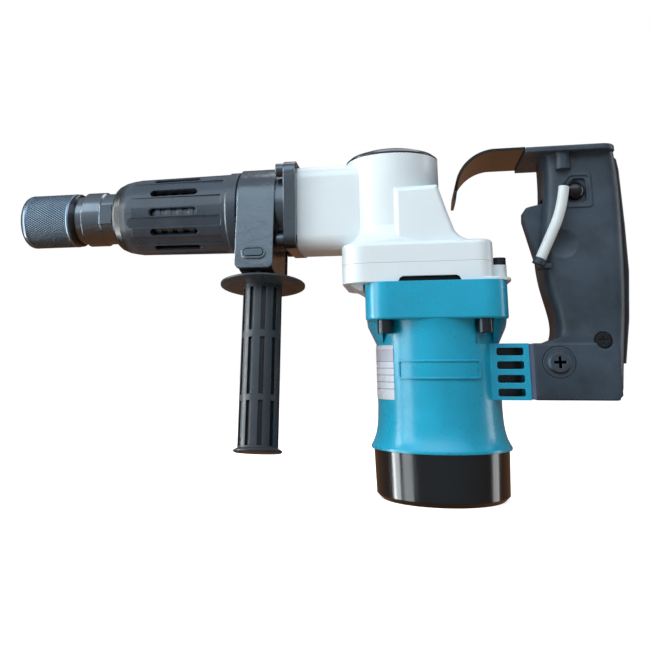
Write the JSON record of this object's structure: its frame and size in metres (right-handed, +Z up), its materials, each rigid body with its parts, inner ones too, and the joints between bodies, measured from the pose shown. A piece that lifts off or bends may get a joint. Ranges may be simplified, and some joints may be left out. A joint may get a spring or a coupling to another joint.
{
  "type": "demolition hammer",
  "caption": "L-shaped hex-shank demolition hammer with upright motor, slotted barrel cover, knurled tool collar, swinging side handle and closed rear handle.",
  "frame": {"origin": "centre of the flat bottom of the motor end cap, on the motor axis", "axes": "+Z up along the motor axis, -X towards the tool tip, +X towards the rear handle, -Y the near side"},
  "size_m": [0.4134, 0.0884, 0.2286],
  "materials": {
    "black_cap": "gloss",
    "teal_housing": "satin",
    "silver_case": "satin",
    "black_steel": "satin",
    "blued_steel": "knurled, polished",
    "bright_steel": "ground",
    "screw_steel": "satin",
    "black_oxide": "gloss",
    "cover_rubber": "satin",
    "grip_rubber": "matte",
    "handle_plastic": "fine spark texture",
    "button_plastic": "gloss",
    "seal_rubber": "matte",
    "strip_rubber": "matte",
    "aluminium_part": "machined",
    "lamination": "laminated",
    "copper": "enamelled wire",
    "carbon": "graphite",
    "fan_plastic": "matte",
    "bearing_steel": "polished",
    "label_film": "printed film, blank",
    "cord_white": "satin"
  },
  "bodies": {
    "hammer": {"end_cap": "black_cap", "end_cap_screws": "screw_steel", "motor_housing": "teal_housing", "name_label": "label_film", "housing_bolts": "black_steel", "stator_core": "lamination", "field_coils": "copper", "bearing_bridge": "fan_plastic", "lower_bearing": "bearing_steel", "upper_bearing": "bearing_steel", "brush_boxes": "copper", "carbon_brushes": "carbon", "gear_case": "silver_case", "crank_case": "silver_case", "crank_cap": "black_steel", "crank_cap_ring": "seal_rubber", "case_bolts": "black_steel", "crank_bearing": "bearing_steel", "crank_lower_bearing": "bearing_steel", "cylinder_liner": "bright_steel", "barrel": "blued_steel", "barrel_cover": "cover_rubber", "front_flange": "black_steel", "flange_bolts": "black_steel", "lock_balls": "bright_steel", "retainer_spring": "bright_steel", "handle_near_shell": "handle_plastic", "handle_far_shell": "handle_plastic", "hand_guard": "black_cap", "back_pad": "seal_rubber", "joint_strip": "strip_rubber", "pivot_bolt": "screw_steel", "handle_screws": "black_oxide", "switch_body": "fan_plastic", "trigger_pin": "bright_steel", "cord_grommet": "handle_plastic", "cord_stub": "cord_white"},
    "armature": {"armature_shaft": "bright_steel", "armature_core": "lamination", "armature_windings": "copper", "commutator": "copper", "cooling_fan": "fan_plastic"},
    "crank": {"crank_shaft": "bright_steel", "crank_gear": "bright_steel"},
    "piston": {"piston": "aluminium_part", "piston_ring": "seal_rubber", "wrist_pin": "bright_steel"},
    "rod": {"connecting_rod": "aluminium_part"},
    "striker": {"striker": "bright_steel", "striker_ring": "seal_rubber"},
    "impact_bolt": {"impact_bolt": "bright_steel"},
    "collar": {"tool_collar": "blued_steel", "collar_rim": "black_oxide"},
    "side_handle": {"handle_band": "black_steel", "clamp_block": "black_steel", "clamp_pin": "screw_steel", "handle_stud": "bright_steel"},
    "side_grip": {"side_grip": "grip_rubber"},
    "trigger": {"trigger": "handle_plastic"},
    "lock_button": {"lock_button": "button_plastic"}
  },
  "joints": [
    {"name": "armature_spin", "type": "hinge", "parent": "hammer", "child": "armature", "pos_m": [0, 0, 0.07], "axis": [0, 0, 1], "continuous": true},
    {"name": "crank_spin", "type": "hinge", "parent": "hammer", "child": "crank", "pos_m": [-0.0255, 0, 0.16], "axis": [0, 0, 1], "continuous": true},
    {"name": "piston_stroke", "type": "slide", "parent": "hammer", "child": "piston", "axis": [1, 0, 0], "range_m": [0, 0.024]},
    {"name": "rod_swing", "type": "hinge", "parent": "piston", "child": "rod", "pos_m": [-0.0925, 0, 0.1905], "axis": [0, 0, 1], "range_deg": [-12, 12]},
    {"name": "striker_slide", "type": "slide", "parent": "hammer", "child": "striker", "axis": [-1, 0, 0], "range_m": [-0.018, 0.008]},
    {"name": "impact_bolt_slide", "type": "slide", "parent": "hammer", "child": "impact_bolt", "axis": [-1, 0, 0], "range_m": [-0.003, 0]},
    {"name": "collar_slide", "type": "slide", "parent": "hammer", "child": "collar", "axis": [1, 0, 0], "range_m": [0, 0.005], "stiffness_N_per_m": 1500, "springref_m": -0.003, "deforming": ["retainer_spring"]},
    {"name": "side_handle_swing", "type": "hinge", "parent": "hammer", "child": "side_handle", "pos_m": [-0.115, 0, 0.1905], "axis": [1, 0, 0], "range_deg": [-180, 180]},
    {"name": "side_grip_turn", "type": "hinge", "parent": "side_handle", "child": "side_grip", "pos_m": [-0.115, -0.0191, 0.08217], "axis": [0, -0.1736, -0.9848], "range_deg": [-180, 0]},
    {"name": "trigger_pull", "type": "hinge", "parent": "hammer", "child": "trigger", "pos_m": [0.075, 0, 0.1555], "axis": [0, 1, 0], "range_deg": [0, 8], "stiffness_Nm_per_rad": 0.9, "springref_deg": -5.73},
    {"name": "lock_button_press", "type": "slide", "parent": "hammer", "child": "lock_button", "axis": [0, 1, 0], "range_m": [0, 0.003], "stiffness_N_per_m": 400, "springref_m": -0.001}
  ],
  "couplings": [
    {"joint": "crank_spin", "follows": "armature_spin", "ratio": -0.15909}
  ]
}
